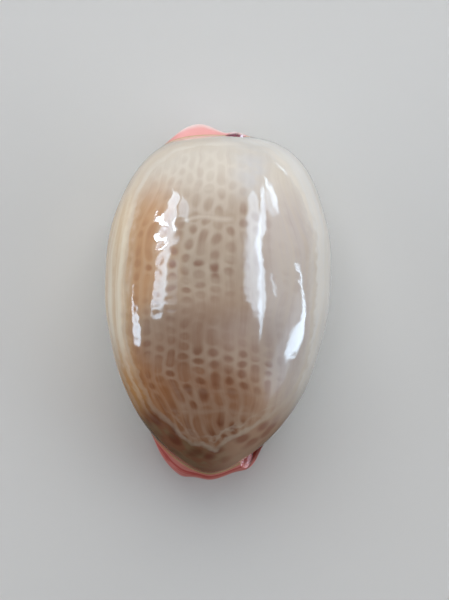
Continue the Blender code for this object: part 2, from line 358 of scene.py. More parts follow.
def relief(points):
    acrossStrings, alongStrings = cellPlace(points)
    shift = np.floor(acrossStrings) * patternForm["stringShift"] % 1.0
    inCap = ease(0.0, patternForm["reliefInside"], capDistance(points))
    inCap = inCap * (points[..., 2] > patternForm["reliefAbove"])
    away = np.hypot(acrossStrings % 1.0 - 0.5, (alongStrings + shift) % 1.0 - 0.5)
    left, right, deep, flat = patternForm["reliefRight"]
    shown = deep + (flat - deep) * ease(left, right, points[..., 0])
    raised = patternForm["relief"] * inCap * shown * ease(*patternForm["reliefShape"], away)
    return raised + patternForm["waves"] * softWaves(points, "skin")


def outerForm():
    points, direction = skinGrid(shellForm["rings"], shellForm["segments"])
    spireX, spireZ = shellForm["spire"]
    fromSpire = np.hypot(points[..., 0] - spireX, points[..., 2] - spireZ)
    dip = shellForm["spireDepth"] * np.exp(-(fromSpire / shellForm["spireRadius"]) ** 2)
    points[..., 1] -= dip * (points[..., 1] > shellForm["widestY"])
    raised = relief(points) * ease(*patternForm["unevenFrom"], points[..., 2])
    points = points + direction * raised[..., None]
    return flareOut(wearFlat(points))


# how thick the wall is, in mm
wallForm = {"roof": 0.9, "margin": 1.4, "end": 2.0, "base": 3.5, "rings": 40, "segments": 40}


def hollowForm():
    points, direction = skinGrid(wallForm["rings"], wallForm["segments"])
    upOrDown = np.where(direction[..., 2] > 0.0, wallForm["roof"], wallForm["base"])
    thickness = (direction[..., 0] ** 2 * wallForm["margin"] + direction[..., 1] ** 2 * wallForm["end"]
                 + direction[..., 2] ** 2 * upOrDown)
    return points - direction * thickness[..., None]


# the slot between the lips and the canals at its ends: threes are middle, rear and front
slotForm = {
    "width": (1.1, 0.3, 0.1),
    "swelling": (1.2, -8.5, 4.0),  # how much wider it gets, at which y, over what length
    "closing": (0.80, 0.92),  # between these shares of the reach it closes to a slit
    "slitWidth": 0.05,
    "slitLean": 0.15,  # slope towards the outer lip below the canals
    "middle": (-1.2, 1.0),  # x and y, as for the canals
    "bend": 2.2,
    "turn": (0.8, 6.5),  # after what share of the front run the slot turns back, and how sharply
    "overrun": 1.8,
    "lipRadius": (1.4, 0.7, 0.7),
    "lipTopZ": 1.2,
    "opening": 1.6,
    "cutBelow": 1.0,
    "samples": 1200,
    "lipAngles": (-88.0, 15.0),  # round the lip, in degrees
    "canalAngles": (-88.0, 75.0),
    "gapUpTo": 0.8,  # up to this angle, in radians, a canal is at least as wide as the slot
    "rearCanal": (1.2, 17.8),
    "frontCanal": (4.5, -16.3),
    "canalZ": (4.1, 4.7, 5.0),
    "canalRadius": (1.8, 1.05, 0.95),
    "toothPitch": 1.28,
    "toothHeight": (0.42, 0.34),  # on the outer lip, on the inner lip
    "crestPower": 1.5,  # above 1 the crests are narrower than the grooves
    "toothSpan": (15.0, -15.5),
    "toothFade": 3.0,
    "stationsPerTooth": 12,
    "lipSteps": 10,
    "canalSteps": 11,
}


def slotX(y):
    x, middleY = slotForm["middle"]
    (rearX, rearY), (frontX, frontY) = slotForm["rearCanal"], slotForm["frontCanal"]
    toRear = np.maximum(y - middleY, 0.0) / (rearY - middleY)
    toFront = np.maximum(middleY - y, 0.0) / (middleY - frontY)
    start, sharpness = slotForm["turn"]
    aside = toFront ** slotForm["bend"] - sharpness * np.maximum(toFront - start, 0.0) ** 2
    atCanal = 1.0 - sharpness * (1.0 - start) ** 2
    return x + (rearX - x) * toRear ** slotForm["bend"] + (frontX - x) * aside / atCanal


def slotCut():
    ends = [shellForm["widestY"] + side * (reach + slotForm["overrun"])
            for side, reach in zip((1.0, -1.0), shellForm["reach"])]
    y = np.linspace(*ends, slotForm["samples"])
    x = slotX(y)
    travelled = np.concatenate([[0.0], np.cumsum(np.hypot(np.diff(x), np.diff(y)))])
    places = np.arange(0.0, travelled[-1], slotForm["toothPitch"] / slotForm["stationsPerTooth"])
    x, y = np.interp(places, travelled, x), np.interp(places, travelled, y)
    stepX, stepY = np.gradient(x), np.gradient(y)
    across = np.stack([-stepY, stepX], axis=-1) / np.hypot(stepX, stepY)[:, None]

    share = reachShare(y)
    extra, extraY, extraLength = slotForm["swelling"]
    width = along(slotForm["width"], share) + extra * np.exp(-((y - extraY) / extraLength) ** 2)
    closed = ease(*slotForm["closing"], np.abs(share))
    halfGap = (width + (slotForm["slitWidth"] - width) * closed) / 2.0
    lipRadius = along(slotForm["lipRadius"], share)
    canalZ, canalRadius = along(slotForm["canalZ"], share), along(slotForm["canalRadius"], share)
    lowZ = np.clip(baseHeight(x, y), 0.0, slotForm["lipTopZ"])
    rearY, frontY = slotForm["toothSpan"]
    fade = slotForm["toothFade"]
    grown = ease(rearY, rearY - fade, y) * ease(frontY, frontY + fade, y)
    wave = 2.0 * math.pi * np.arange(len(y)) / slotForm["stationsPerTooth"]

    sides = []
    for height, phase in zip(slotForm["toothHeight"], (0.0, math.pi)):
        crest = (0.5 + 0.5 * np.cos(wave + phase)) ** slotForm["crestPower"]
        groove = height * grown * (1.0 - crest)
        offsets = [halfGap + groove + lipRadius * slotForm["opening"]]
        heights = [lowZ - slotForm["cutBelow"]]
        for angle in np.radians(np.linspace(*slotForm["lipAngles"], slotForm["lipSteps"])):
            offsets.append(halfGap + groove + lipRadius * (1.0 - math.cos(angle)))
            heights.append(lowZ + lipRadius * (1.0 + math.sin(angle)))
        for angle in np.radians(np.linspace(*slotForm["canalAngles"], slotForm["canalSteps"])):
            least = (halfGap + groove) * (angle < slotForm["gapUpTo"])
            offsets.append(np.maximum(canalRadius * math.cos(angle), least))
            heights.append(canalZ + canalRadius * math.sin(angle))
        sides.append((np.stack(offsets, axis=-1), np.stack(heights, axis=-1)))
    (outerOffset, outerZ), (innerOffset, innerZ) = sides
    top = (canalZ + canalRadius)[:, None]
    offset = np.concatenate([innerOffset, 0.0 * top, -outerOffset[:, ::-1]], axis=1)
    z = np.concatenate([innerZ, top, outerZ[:, ::-1]], axis=1)
    canalFloor = (canalZ - canalRadius)[:, None]
    offset = offset - slotForm["slitLean"] * closed[:, None] * np.maximum(canalFloor - z, 0.0)
    plan = np.stack([x, y], axis=-1)[:, None, :] + across[:, None, :] * offset[..., None]
    return np.concatenate([plan, z[..., None]], axis=-1)


def intoScene(name, data):
    item = bpy.data.objects.new(name, data)
    bpy.context.scene.collection.objects.link(item)
    return item


def closedObject(name, rings):  # rings of points joined by faces, with a lid at each end
    mesh = bmesh.new()
    verts = [[mesh.verts.new(point) for point in ring] for ring in rings * mm]
    count = len(verts[0])
    for here, there in zip(verts, verts[1:]):
        for step in range(count):
            after = (step + 1) % count
            mesh.faces.new((here[step], here[after], there[after], there[step]))
    mesh.faces.new(verts[0])
    mesh.faces.new(verts[-1])
    bmesh.ops.recalc_face_normals(mesh, faces=mesh.faces)
    data = bpy.data.meshes.new(name)
    mesh.to_mesh(data)
    mesh.free()
    return intoScene(name, data)


def carveShell():
    outer = closedObject("glazedShell", outerForm())
    skinTree = BVHTree.FromObject(outer, bpy.context.evaluated_depsgraph_get())
    cutters = [closedObject("hollowCutter", hollowForm()), closedObject("slotCutter", slotCut())]
    for cutter in cutters:
        cut = outer.modifiers.new(cutter.name, "BOOLEAN")
        cut.operation = "DIFFERENCE"
        cut.solver = "EXACT"
        cut.object = cutter
    graph = bpy.context.evaluated_depsgraph_get()
    carved = bpy.data.meshes.new_from_object(outer.evaluated_get(graph))
    outer.modifiers.clear()
    outer.data = carved
    for cutter in cutters:
        bpy.data.objects.remove(cutter)
    carved.shade_smooth()
    carved.set_sharp_from_angle(angle=math.radians(shellForm["sharpFrom"]))
    return outer, skinTree


# where the pink begins and where it is full, in mm outwards from each flare's centre
pinkForm = {
    "rear": (8.0, 8.8),
    "front": (5.2, 6.2),
    "below": (4.0, 1.5),  # between these heights it turns to fade out over a longer way
    "longer": (0.6, 3.0),  # by which it begins sooner and is full later
}


def markShell(shell, skinTree):  # gives each point what the material needs to know
    mesh = shell.data
    points = np.empty(len(mesh.vertices) * 3)
    mesh.vertices.foreach_get("co", points)
    points = points.reshape(-1, 3) / mm
    depth = np.array([skinTree.find_nearest(vert.co)[3] for vert in mesh.vertices]) / mm
    flared = np.zeros(len(points))
    under = ease(*pinkForm["below"], points[:, 2])
    sooner, later = pinkForm["longer"]
    for end, side, (begin, full) in ((0, 1.0, pinkForm["rear"]), (1, -1.0, pinkForm["front"])):
        out = (points[:, 1] - flareForm["centreY"][end]) * side
        pinked = ease(begin - sooner * under, full + later * under, out)
        flared = np.maximum(flared, flareSize(points, end)[0] * pinked)
    middle, halfWidth, roof, base = sectionAt(points[:, 0], points[:, 1])
    up = (points[:, 2] - middle) / np.where(points[:, 2] > middle, roof, base)
    onFlank = ease(*patternForm["capAbove"], points[:, 2])
    acrossStrings, alongStrings = cellPlace(points)
    marks = {
        "acrossStrings": acrossStrings,
        "alongStrings": alongStrings,
        "bandLines": bandLines(points),
        "netStrength": patches(points, patternForm["netPatches"]),
        "spotStrength": patches(points, patternForm["spotPatches"]),
        "capDistance": capDistance(points) - patternForm["farOutside"] * onFlank,
        "roundBack": roundTheBack(points),
        "sideTurn": np.degrees(np.arctan2(points[:, 0] / halfWidth, up)),
        "depth": depth,
        "flared": flared,
        "tipShare": 1.0 - ease(*flareForm["topZ"], points[:, 2]),
    }
    for name, values in marks.items():
        mark = mesh.attributes.new(name, "FLOAT", "POINT")
        mark.data.foreach_set("value", values.astype(np.float32))


print("stage 2: carving the shell")
shell, skinTree = carveShell()
markShell(shell, skinTree)
print("stage 3: shell carved,", len(shell.data.polygons), "faces")


# small helpers for materials
def colour(red, green, blue):  # 0 to 255 as seen on a screen, to linear light
    linear = []
    for part in (red, green, blue):
        part = part / 255.0
        linear.append(part / 12.92 if part <= 0.04045 else ((part + 0.055) / 1.055) ** 2.4)
    return (*linear, 1.0)


class NodeBench:
    def __init__(self, owner):
        owner.use_nodes = True
        self.tree = owner.node_tree
        self.shader = self.tree.nodes.get("Principled BSDF")

    def feed(self, socket, value):
        if isinstance(value, bpy.types.NodeSocket):
            self.tree.links.new(value, socket)
        elif value is not None:
            socket.default_value = value

    def add(self, kind, settings=None, **inputs):
        node = self.tree.nodes.new(kind)
        for key, value in (settings or {}).items():
            setattr(node, key, value)
        for key, value in inputs.items():
            self.feed(node.inputs[key], value)
        return node

    def mark(self, name):
        return self.add("ShaderNodeAttribute", {"attribute_name": name}).outputs["Fac"]

    def math(self, operation, first, second=None, third=None):
        node = self.tree.nodes.new("ShaderNodeMath")
        node.operation = operation
        for socket, value in zip(node.inputs, (first, second, third)):
            self.feed(socket, value)
        return node.outputs[0]

    def chance(self, first, second, seed):  # a random number for each pair of whole numbers
        return self.add("ShaderNodeTexWhiteNoise", {"noise_dimensions": "3D"},
                        Vector=self.vector(first, second, seed)).outputs["Value"]

    def ramp(self, value, low, high, toLow=0.0, toHigh=1.0):  # a smooth step
        node = self.tree.nodes.new("ShaderNodeMapRange")
        node.interpolation_type = "SMOOTHSTEP"
        for socket, given in zip(node.inputs, (value, low, high, toLow, toHigh)):
            self.feed(socket, given)
        return node.outputs[0]

    def mix(self, share, first, second, blend="MIX"):
        node = self.tree.nodes.new("ShaderNodeMix")
        node.data_type = "RGBA"
        node.blend_type = blend
        for socket, value in zip((0, 6, 7), (share, first, second)):  # 6, 7 and output 2 are the colours
            self.feed(node.inputs[socket], value)
        return node.outputs[2]

    def times(self, *values):
        total = values[0]
        for value in values[1:]:
            total = self.math("MULTIPLY", total, value)
        return total

    def distance(self, value, centre):
        return self.math("ABSOLUTE", self.math("SUBTRACT", value, centre))

    def vector(self, x, y, z=0.0):
        return self.add("ShaderNodeCombineXYZ", None, X=x, Y=y, Z=z).outputs[0]

    def noise(self, vector, scale, detail, roughness=0.5):
        return self.add("ShaderNodeTexNoise", None, Vector=vector, Scale=scale, Detail=detail,
                        Roughness=roughness).outputs[0]

    def sway(self, vector, scale, detail):  # noise to both sides of nought
        return self.math("SUBTRACT", self.noise(vector, scale, detail), 0.5)

    def stretched(self, x, y, stretch, detail, roughness=0.5):  # noise in long streaks
        vector = self.vector(self.times(x, stretch[0]), self.times(y, stretch[1]))
        return self.noise(vector, 1.0, detail, roughness)


class GlazeBench(NodeBench):  # keeps the fields that the zones of the glaze follow
    def __init__(self, owner):
        super().__init__(owner)
        self.at = {}

    def steps(self, form, *names):  # the smooth steps that the form gives under these names, multiplied
        return self.times(*(self.ramp(self.at[field], *change) for field, *change in map(form.get, names)))

    def paint(self, under, over, form, *names, blend="MIX"):
        under, over = (glaze[tone] if isinstance(tone, str) else tone for tone in (under, over))
        return self.mix(self.steps(form, *names), under, over, blend)


glaze = {
    "leftTan": colour(208, 164, 124),
    "middleTan": colour(185, 166, 148),
    "rightGrey": colour(209, 199, 193),
    "rearCream": colour(228, 219, 206),
    # painted reflection: the bluish sheen of a dim softbox near the rear
    "rearPaintedReflection": colour(214, 216, 222),
    "frontLeft": colour(184, 124, 76),
    "frontMiddle": colour(172, 126, 96),
    "frontRight": colour(206, 172, 146),
    "spotTint": (0.64, 0.48, 0.44, 1.0),  # what the dark spots leave of the ground
    "duskTint": (0.81, 0.80, 0.81, 1.0),
    "net": colour(218, 205, 186),
    "capLine": colour(240, 232, 220),
    "leftMargin": colour(232, 206, 172),
    "leftMarginLine": colour(248, 234, 212),
    "rightMargin": colour(238, 235, 230),
    "frontMargin": colour(212, 154, 94),
    "frontOlive": colour(144, 114, 84),
    "frontMottle": colour(146, 92, 66),
    "freckleTint": (0.62, 0.40, 0.38, 1.0),
    # the olive strip where the tips flare, made paler as painted light against the shade in the crease
    # under the back
    "oliveEdgeWithPaintedLight": colour(206, 178, 122),
    "base": colour(236, 230, 218),
    "inside": colour(206, 190, 184),
    "pink": colour(214, 128, 112),
    "pinkDeep": colour(200, 84, 76),
    "pinkEdge": colour(232, 160, 152),
    "rearPink": colour(248, 178, 174),
    "rearPinkEdge": colour(250, 226, 222),
    # the canals' own red, made darker as painted shade of the recesses
    "frontCanal": colour(156, 56, 44),
    "rearCanal": colour(150, 72, 92),
}

# A row that starts with a name is a smooth step: the field that it follows, where it begins and where it
# is complete, and its values there if they aren't 0 and 1. The fields x, y and z are places in mm,
# roundBack is mm round the back from its midline, and capDistance is mm inside the patterned edge.
# A row of noise is its scale and detail, after the stretch both ways where it runs in streaks.
sharedForm = {
    "sway": (0.16, 1.0),
    "mottle": (0.55, 2.5),
    "fine": (0.9, 2.0),
    "netPaler": ("y", 4.0, 11.0),
}


def sharedFields(bench):
    at = bench.at
    for name in ("acrossStrings", "alongStrings", "bandLines", "netStrength", "spotStrength", "capDistance",
                 "roundBack", "sideTurn", "depth", "flared", "tipShare"):
        at[name] = bench.mark(name)
    place = bench.add("ShaderNodeTexCoord").outputs["Object"]
    at["place"] = bench.add("ShaderNodeVectorMath", {"operation": "SCALE"}, Vector=place,
                            Scale=1.0 / mm).outputs[0]
    at["x"], at["y"], at["z"] = bench.add("ShaderNodeSeparateXYZ", None, Vector=at["place"]).outputs
    at["sway"] = bench.sway(at["place"], *sharedForm["sway"])
    at["mottle"] = bench.noise(at["place"], *sharedForm["mottle"])
    at["fine"] = bench.noise(at["place"], *sharedForm["fine"])
    at["wobble"] = bench.math("SUBTRACT", at["fine"], 0.5)
    at["netTone"] = bench.paint("net", "capLine", sharedForm, "netPaler")


groundForm = {
    "wander": (0.22, 2.0),
    "wanderBy": 5.0,
    "greyerRear": ("y", 1.0, -3.5),  # the warm side is greyer between these two
    "greyerFront": ("y", -9.5, -5.0),
    "greyerBy": 4.0,
    "tanToMiddle": ("drift", -8.5, -2.5),
    "middleToGrey": ("drift", 1.5, 7.0),
    "brownLater": ("roundBack", 3.0, 10.0, 0.0, 10.0),  # further to the front on the right
    "brownFrom": ("roundBack", -3.0, -8.0, 5.0, 0.5),
    "brownFull": -10.0,
    "cream": ("y", 8.5, 15.0),
    "streaks": ((1.7, 0.13), 3.0, 0.6),
    "paleStreak": ("streaks", 0.42, 0.72),
    "paleShown": ("roundBack", 4.0, 9.0, 0.16, 0.42),
    "darkStreak": ("streaks", 0.52, 0.28, 0.0, 0.16),
    "duskMiddle": 1.0,
    "duskRear": ("y", 1.0, -2.5),
    "duskFront": ("y", -9.0, -5.5),
    "duskAcross": ("fromDusk", 9.0, 4.0),
}


def groundColour(bench):  # warm on the left, grey on the right, cream at the rear, brown at the front
    form, at = groundForm, bench.at
    wander = bench.sway(at["place"], *form["wander"])
    drift = bench.math("MULTIPLY_ADD", wander, form["wanderBy"], at["roundBack"])
    greyer = bench.steps(form, "greyerRear", "greyerFront")
    at["drift"] = bench.math("MULTIPLY_ADD", greyer, form["greyerBy"], drift)
    at["streaks"] = bench.stretched(at["acrossStrings"], at["alongStrings"], *form["streaks"])
    at["fromDusk"] = bench.distance(at["roundBack"], form["duskMiddle"])

    ground = bench.paint("leftTan", "middleTan", form, "tanToMiddle")
    ground = bench.paint(ground, "rightGrey", form, "middleToGrey")
    brown = bench.paint("frontLeft", "frontMiddle", form, "tanToMiddle")
    brown = bench.paint(brown, "frontRight", form, "middleToGrey")
    brownAt = bench.math("ADD", bench.steps(form, "brownLater"), at["y"])
    browned = bench.ramp(brownAt, bench.steps(form, "brownFrom"), form["brownFull"])
    ground = bench.mix(browned, ground, brown)
    ground = bench.paint(ground, "rearCream", form, "cream")
    ground = bench.paint(ground, "net", form, "paleStreak", "paleShown")
    ground = bench.paint(ground, "spotTint", form, "darkStreak", blend="MULTIPLY")
    return bench.paint(ground, "duskTint", form, "duskRear", "duskFront", "duskAcross", blend="MULTIPLY")


spotForm = {
    "chanceSeed": 3.0,
    "joined": ("chance", 0.90, 0.74, 0.3, 1.0),  # where two spots of a string run together
    "strength": ((7.3, 0.6), 1.0),
    "strong": ("strength", 0.38, 0.62, 0.1, 1.0),
    "spot": ("fromSpot", 0.45, 0.14),  # in cells
    "rear": ("y", 9.5, 13.5, 1.0, 0.5),
    "line": ("fromSpot", 0.24, 0.54),
    "gaps": (0.32, 2.0),
    "gapped": ("gaps", 0.36, 0.60, 0.25, 1.0),
    "netShown": ("y", -2.0, -9.0, 0.45, 0.36),
}


def spotsAndNet(bench, ground):  # strings of soft oval spots in a pale net
    form, at = spotForm, bench.at
    string = bench.math("FLOOR", at["acrossStrings"])
    aside = bench.distance(bench.math("FRACT", at["acrossStrings"]), 0.5)
    shift = bench.math("FRACT", bench.times(string, patternForm["stringShift"]))
    cell = bench.math("ADD", at["alongStrings"], shift)
    crossing = bench.math("FLOOR", bench.math("ADD", cell, 0.5))
    at["chance"] = bench.chance(string, crossing, form["chanceSeed"])
    at["strength"] = bench.stretched(string, cell, *form["strength"])
    at["gaps"] = bench.noise(at["place"], *form["gaps"])
    fromCentre = bench.math("SUBTRACT", 0.5, bench.distance(cell, crossing))
    fromCentre = bench.times(fromCentre, bench.steps(form, "joined"))
    squares = [bench.math("POWER", value, 2.0) for value in (aside, fromCentre)]
    at["fromSpot"] = bench.math("SQRT", bench.math("ADD", *squares))

    spots = bench.times(bench.steps(form, "spot", "strong", "rear"), at["spotStrength"])
    net = bench.times(bench.steps(form, "line", "gapped"), at["netStrength"])
    at["net"] = bench.math("MAXIMUM", net, at["bandLines"])
    patterned = bench.mix(spots, ground, glaze["spotTint"], "MULTIPLY")
    return bench.mix(bench.times(at["net"], bench.steps(form, "netShown")), patterned, at["netTone"])


marginForm = {
    "swayBy": 10.0,  # degrees round the shell
    "stripes": ((0.16, 0.03), 2.0),
    "leftStripe": ("stripes", 0.40, 0.60),
    "leftStripeRear": ("y", 14.0, 8.0, 0.25, 1.0),
    "leftStripeAbove": ("z", 4.0, 8.0),
    "rightStripe": ("stripes", 0.4, 0.6, 0.0, 0.5),
    "cream": ("y", 8.0, 15.0, 0.0, 0.7),
    "leftToRight": ("roundBack", -3.0, 3.0),
    "front": ("y", -3.0, -9.5, 0.0, 0.95),
    "frontLeftToRight": ("roundBack", -1.0, 8.0, 0.0, 0.95),
}


def marginColour(bench):  # pale, with long lines that follow the edge of the patterned back
    form, at = marginForm, bench.at
    turn = bench.math("MULTIPLY_ADD", at["sway"], form["swayBy"], at["sideTurn"])
    at["stripes"] = bench.stretched(turn, at["y"], *form["stripes"])
    left = bench.paint("leftMargin", "leftMarginLine", form, "leftStripe", "leftStripeRear",
                       "leftStripeAbove")
    left = bench.paint(left, "rearCream", form, "cream")
    right = bench.paint("rightMargin", "base", form, "rightStripe")
    margin = bench.paint(left, right, form, "leftToRight")
    front = bench.paint("frontMargin", right, form, "frontLeftToRight")
    return bench.paint(margin, front, form, "front")


frontForm = {
    "nearLine": ("capDistance", -2.4, -0.8, 0.0, 0.12),  # redder just outside the pale line
    "nearLineLeft": ("roundBack", 0.0, -5.0),
    "mottled": ("redness", 0.42, 0.62, 0.0, 0.8),
    "right": ("roundBack", -1.5, 4.0, 0.0, 0.75),
    "freckles": {"Scale": 0.5, "Smoothness": 0.3},
    "freckle": ("freckles", 0.6, 0.2),
    "freckled": ("capDistance", -2.6, -1.0, 0.0, 0.8),
    "tilt": -0.28,  # mm along the shell for each mm up
    "swayBy": 5.0,
    "edge": ("tilted", -11.0, -16.5),
}


def brownFront(bench, margin):  # has reddish spots and a tilted, uneven edge
    form, at = frontForm, bench.at
    at["redness"] = bench.math("ADD", at["mottle"], bench.steps(form, "nearLine", "nearLineLeft"))
    at["freckles"] = bench.add("ShaderNodeTexVoronoi", {"feature": "SMOOTH_F1"}, Vector=at["place"],
                               **form["freckles"]).outputs["Distance"]
    tilted = bench.math("MULTIPLY_ADD", at["z"], form["tilt"], at["y"])
    at["tilted"] = bench.math("MULTIPLY_ADD", at["sway"], form["swayBy"], tilted)
    brown = bench.paint("frontOlive", "frontMottle", form, "mottled")
    brown = bench.paint(brown, "frontRight", form, "right")
    brown = bench.paint(brown, "freckleTint", form, "freckle", "freckled", blend="MULTIPLY")
    return bench.paint(margin, brown, form, "edge")


lineForm = {
    "raggedFront": ("y", -8.0, -13.0, 0.9, 0.6),  # mm by which the edge wanders, times the next
    "raggedRear": ("y", 12.0, 8.0, 0.5, 1.0),
    "soft": ("y", -5.0, -12.0, 1.0, 0.45),
    "blend": ("softened", -0.6, 1.0),
    # a second strand inside the first, at the front
    "strandInside": 0.95,
    "strandWander": 1.7,
    "strand": ("fromStrand", 0.32, 0.0),
    "strandFront": ("y", -5.0, -9.5),
    "strandGaps": ("mottle", 0.40, 0.62, 0.25, 1.0),
    "strandLeft": ("roundBack", -7.0, -2.0, 0.3, 1.0),
    "strandShown": 0.36,
    # the line itself
    "rimOutside": ("ragged", -0.35, 0.0),
    "rimWidth": ("y", 4.0, -8.0, 0.30, 0.42),
    "rimFull": 0.10,
    "rimGaps": ("mottle", 0.32, 0.6, 0.45, 1.0),
    "rimLeft": ("roundBack", -6.5, -1.5, 0.65, 1.0),
    "rimRear": ("y", 8.0, 13.0, 0.48, 0.85),
    # two fainter lines outside it
    "nextOutside": ("ragged", -1.05, -0.75),
    "nextInside": ("ragged", -0.40, -0.62),
    "farOutside": ("ragged", -1.85, -1.5),
    "farInside": ("ragged", -1.15, -1.4),
    "outerFront": ("y", -14.0, -8.0),
    "outerRear": ("y", 15.0, 10.0, 0.35, 1.0),
    "outerAcross": ("roundBack", 0.0, 6.0, 0.35, 0.15),
}


def edgeLines(bench, margin, patterned):  # pale lines along the uneven edge of the patterned back
    form, at = lineForm, bench.at
    wander = bench.steps(form, "raggedFront", "raggedRear")
    at["ragged"] = bench.math("MULTIPLY_ADD", at["wobble"], wander, at["capDistance"])
    at["softened"] = bench.math("DIVIDE", at["ragged"], bench.steps(form, "soft"))
    skin = bench.paint(margin, patterned, form, "blend")

    fromStrand = bench.math("SUBTRACT", at["capDistance"], form["strandInside"])
    fromStrand = bench.math("MULTIPLY_ADD", at["wobble"], form["strandWander"], fromStrand)
    at["fromStrand"] = bench.math("ABSOLUTE", fromStrand)
    strand = bench.times(bench.steps(form, "strand", "strandFront", "strandGaps", "strandLeft"),
                         form["strandShown"])
    rimInside = bench.ramp(at["ragged"], bench.steps(form, "rimWidth"), form["rimFull"])
    rim = bench.times(bench.steps(form, "rimOutside", "rimGaps", "rimLeft", "rimRear"), rimInside)
    skin = bench.mix(bench.math("MAXIMUM", rim, strand), skin, at["netTone"])

    outer = bench.math("MAXIMUM", bench.steps(form, "nextOutside", "nextInside"),
                       bench.steps(form, "farOutside", "farInside"))
    outer = bench.times(outer, bench.steps(form, "outerFront", "outerRear", "outerAcross"))
    return bench.mix(outer, skin, glaze["leftMarginLine"])


# where the painted reflection near the rear canal lies, and how cloudy it is
paintedReflectionForm = {
    "middle": 3.2,
    "swayBy": 3.0,
    "across": ("fromPaintedReflection", 3.4, 0.3),
    "front": ("y", 9.5, 13.5),
    "rear": ("y", 17.5, 14.5),
    "cloudy": ("mottle", 0.35, 0.65, 0.25, 0.55),
}


def rearPaintedReflection(bench, skin):  # a bluish patch near the rear canal: a painted reflection of a dim softbox
    away = bench.distance(bench.at["roundBack"], paintedReflectionForm["middle"])
    bench.at["fromPaintedReflection"] = bench.math("MULTIPLY_ADD", bench.at["sway"], paintedReflectionForm["swayBy"], away)
    return bench.paint(skin, "rearPaintedReflection", paintedReflectionForm, "across", "front", "rear", "cloudy")


tipForm = {
    "base": ("z", 5.5, 2.0),
    "olive": ("flared", 0.0, 0.05, 0.0, 0.8),  # flared is how far the tip is pushed out, in mm
    "oliveAbove": ("z", 1.5, 4.0),
    "wander": (0.4, 1.5),
    "streakBy": 0.35,
    "deep": ("streak", 0.15, 0.45),
    "edge": ("streak", 0.72, 0.95),
    "grain": ((5.0, 2.0), 2.0),
    "grained": ("grain", 0.45, 0.62, 0.0, 0.6),
    "rearEdge": ("streak", 0.55, 0.98),
    "rearLeft": ("x", -4.0, -6.5, 0.0, 0.5),
    "frontToRear": ("y", 0.0, 4.0),
    "below": ("z", 4.0, 1.5),
    "uneven": ("flared", 0.0, 0.2, 0.0, 1.2),
    "pinkFrom": 0.05,
    "pinkFull": ("z", 4.0, 1.5, 0.16, 1.06),
}


def flaredTips(bench, skin):  # cream base, an olive edge made paler as painted light against the shade of the crease, and pink tips that fade out below
    form, at = tipForm, bench.at
    wander = bench.sway(at["place"], *form["wander"])
    at["streak"] = bench.math("MULTIPLY_ADD", wander, form["streakBy"], at["tipShare"])
    at["grain"] = bench.stretched(at["streak"], wander, *form["grain"])
    skin = bench.paint(skin, "base", form, "base")
    # painted light: the olive edge is lightened where the overhanging back shades the crease
    skin = bench.paint(skin, "oliveEdgeWithPaintedLight", form, "olive", "oliveAbove")
    rose = bench.paint("pink", "pinkDeep", form, "deep")
    rose = bench.paint(rose, "pinkEdge", form, "edge")
    rose = bench.paint(rose, "pinkEdge", form, "grained")
    rearRose = bench.paint("rearPink", "rearPinkEdge", form, "rearEdge")
    rearRose = bench.paint(rearRose, "pink", form, "rearLeft")
    rose = bench.paint(rose, rearRose, form, "frontToRear")
    uneven = bench.math("MULTIPLY_ADD", wander, bench.steps(form, "below", "uneven"), at["flared"])
    pinked = bench.ramp(uneven, form["pinkFrom"], bench.steps(form, "pinkFull"))
    return bench.mix(pinked, skin, rose)


# the canal colours come in with depth below the skin: their own red, with painted shade deeper in the
# recess
canalForm = {
    "inside": ("depth", 0.8, 2.6),  # depth is mm below the skin
    "rearEnd": ("y", 14.5, 16.5),
    "frontEnd": ("y", -13.5, -15.5),
    "frontToRear": ("y", -2.0, 2.0),
    "from": ("y", -2.0, 2.0, 0.08, 0.04),
    "full": ("canalDepth", 0.0, 0.30),
}


def insideAndCanals(bench, skin):
    form, at = canalForm, bench.at
    at["canalDepth"] = bench.math("SUBTRACT", at["depth"], bench.steps(form, "from"))
    atEnds = bench.math("MAXIMUM", bench.steps(form, "rearEnd"), bench.steps(form, "frontEnd"))
    skin = bench.paint(skin, "inside", form, "inside")
    # painted shade: the canal colour darkens the walls deeper into the recess
    canal = bench.paint("frontCanal", "rearCanal", form, "frontToRear")
    return bench.mix(bench.times(bench.steps(form, "full"), atEnds), skin, canal)


glossForm = {
    "tips": ("flared", 0.05, 0.20),
    "inside": ("depth", 0.02, 0.2),
    "roughness": (0.075, 0.32),  # on the back, on the tips and inside
    "ior": 1.5,
    "netSunk": -0.5,
    "bumpStrength": 0.3,
    "bumpHeight": 0.00003,  # in metres
}


def glazeMaterial():
    material = bpy.data.materials.new("glazedShell")
    bench = GlazeBench(material)
    sharedFields(bench)
    patterned = spotsAndNet(bench, groundColour(bench))
    margin = brownFront(bench, marginColour(bench))
    skin = rearPaintedReflection(bench, edgeLines(bench, margin, patterned))
    skin = insideAndCanals(bench, flaredTips(bench, skin))
    bench.feed(bench.shader.inputs["Base Color"], skin)
    rough = bench.math("MAXIMUM", bench.steps(glossForm, "tips"), bench.steps(glossForm, "inside"))
    bench.feed(bench.shader.inputs["Roughness"], bench.ramp(rough, 0.0, 1.0, *glossForm["roughness"]))
    bench.shader.inputs["IOR"].default_value = glossForm["ior"]
    raised = bench.math("MULTIPLY_ADD", bench.at["net"], glossForm["netSunk"], bench.at["fine"])
    bump = bench.add("ShaderNodeBump", None, Strength=glossForm["bumpStrength"],
                     Distance=glossForm["bumpHeight"], Height=raised)
    bench.feed(bench.shader.inputs["Normal"], bump.outputs[0])
    return material


shell.data.materials.clear()
shell.data.materials.append(glazeMaterial())
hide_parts("cowrie_shell")
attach(shell, "root")
print("stage 4: glazed")


